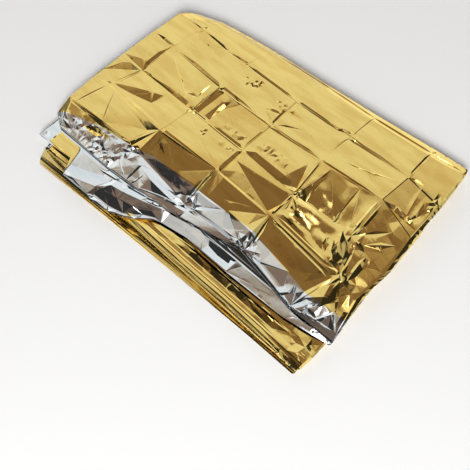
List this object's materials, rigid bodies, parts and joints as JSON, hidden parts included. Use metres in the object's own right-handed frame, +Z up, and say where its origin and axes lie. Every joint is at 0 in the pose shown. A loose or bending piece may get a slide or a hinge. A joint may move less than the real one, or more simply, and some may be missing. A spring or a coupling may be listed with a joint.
{
  "type": "emergency foil blanket",
  "caption": "Thin metallised-film blanket, gold outside and silver inside, doubled and pleated into a low, creased pile with uneven front edges.",
  "frame": {"origin": "under the middle of the folded pile, on the surface it rests on", "axes": "+X along the pile towards the fold that joins its two halves, +Y from the open front edges to the back folds, +Z up"},
  "size_m": [0.8975, 0.6595, 0.0493],
  "materials": {
    "gold_foil": "mirror-bright metallised polyester film, gold on the outer face and silver on the inner face and along one uncoated margin"
  },
  "bodies": {
    "root": {"foil_blanket": "gold_foil"}
  },
  "joints": []
}
